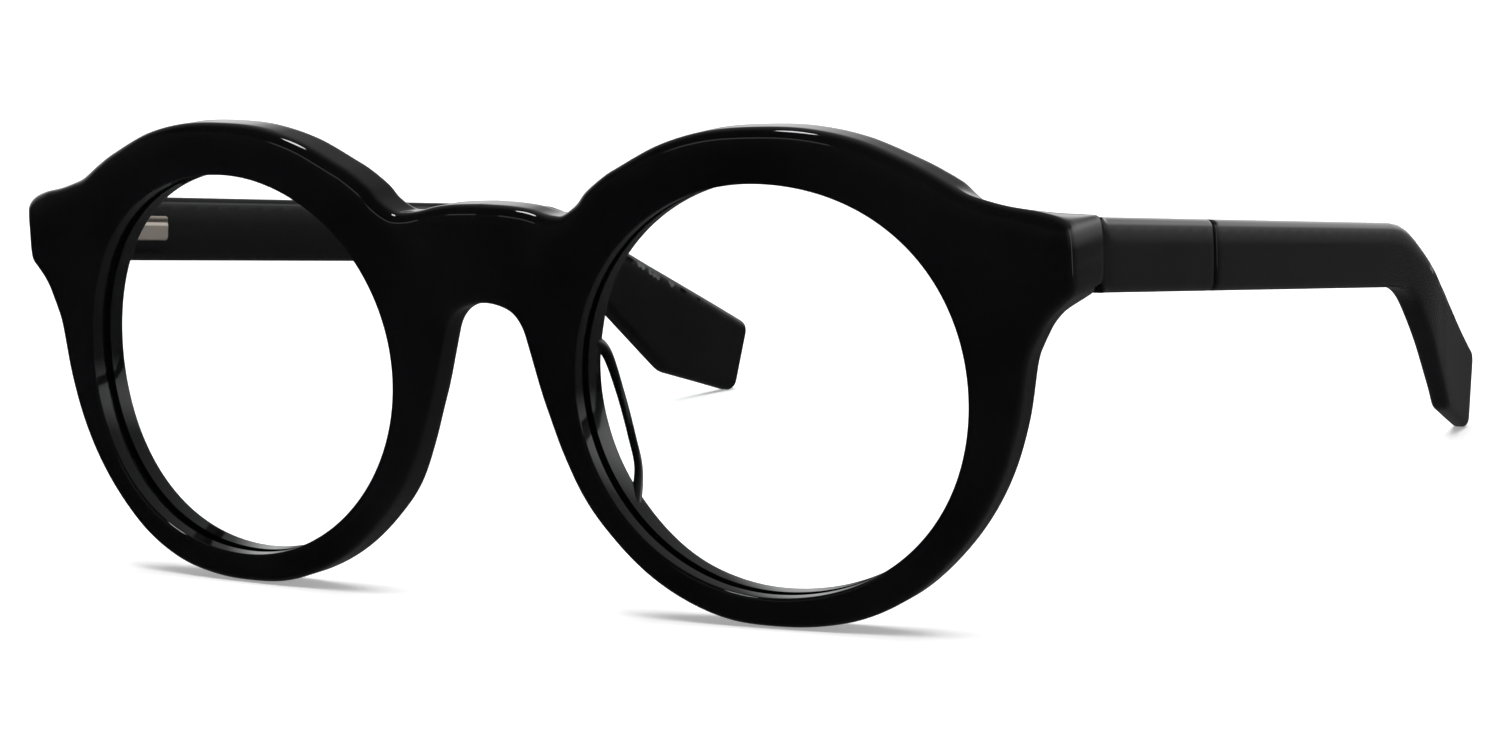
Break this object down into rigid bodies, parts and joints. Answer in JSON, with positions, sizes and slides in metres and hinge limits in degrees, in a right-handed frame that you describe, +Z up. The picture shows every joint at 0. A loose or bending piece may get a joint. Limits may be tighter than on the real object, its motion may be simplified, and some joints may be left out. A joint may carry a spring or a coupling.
{
  "type": "eyeglasses",
  "caption": "Thick black acetate eyeglasses with round clear lenses and folding temples on spring hinges.",
  "frame": {"origin": "middle of the object's box, on the surface that the rims and the temple tips rest on", "axes": "+Z up, +Y back along the temples away from the lenses, +X towards the right-hand temple as seen from the front"},
  "size_m": [0.1392, 0.1564, 0.0538],
  "materials": {
    "acetate": "polished glossy black acetate",
    "lens": "clear demo lens, anti-reflection coated",
    "hinge_metal": "satin nickel-plated",
    "housing_metal": "satin warm nickel",
    "screw_steel": "turned stainless steel",
    "spring_wire": "drawn steel wire"
  },
  "bodies": {
    "front": {"front_frame": "acetate", "lens_right": "lens", "lens_left": "lens", "nose_pad_right": "acetate", "nose_pad_left": "acetate", "front_hinge_right": "hinge_metal", "front_hinge_left": "hinge_metal", "hinge_screw_right": "screw_steel", "hinge_screw_left": "screw_steel"},
    "slider_right": {"spring_slider_right": "hinge_metal", "slider_bush_right": "screw_steel"},
    "temple_arm_right": {"temple_right": "acetate", "core_wire_right": "spring_wire", "hinge_housing_right": "housing_metal", "hinge_spring_right": "spring_wire"},
    "slider_left": {"spring_slider_left": "hinge_metal", "slider_bush_left": "screw_steel"},
    "temple_arm_left": {"temple_left": "acetate", "core_wire_left": "spring_wire", "hinge_housing_left": "housing_metal", "hinge_spring_left": "spring_wire"}
  },
  "joints": [
    {"name": "fold_right", "type": "hinge", "parent": "front", "child": "slider_right", "pos_m": [0.0631, -0.06275, 0.0395], "axis": [0, 0, 1], "range_deg": [0, 88]},
    {"name": "spring_travel_right", "type": "slide", "parent": "slider_right", "child": "temple_arm_right", "axis": [-0.0279, 0.9933, -0.1123], "range_m": [0, 0.001], "stiffness_N_per_m": 2000, "springref_m": -0.0015},
    {"name": "fold_left", "type": "hinge", "parent": "front", "child": "slider_left", "pos_m": [-0.0631, -0.06275, 0.0395], "axis": [0, 0, -1], "range_deg": [0, 78]},
    {"name": "spring_travel_left", "type": "slide", "parent": "slider_left", "child": "temple_arm_left", "axis": [0.0279, 0.9933, -0.1123], "range_m": [0, 0.001], "stiffness_N_per_m": 2000, "springref_m": -0.0015}
  ]
}
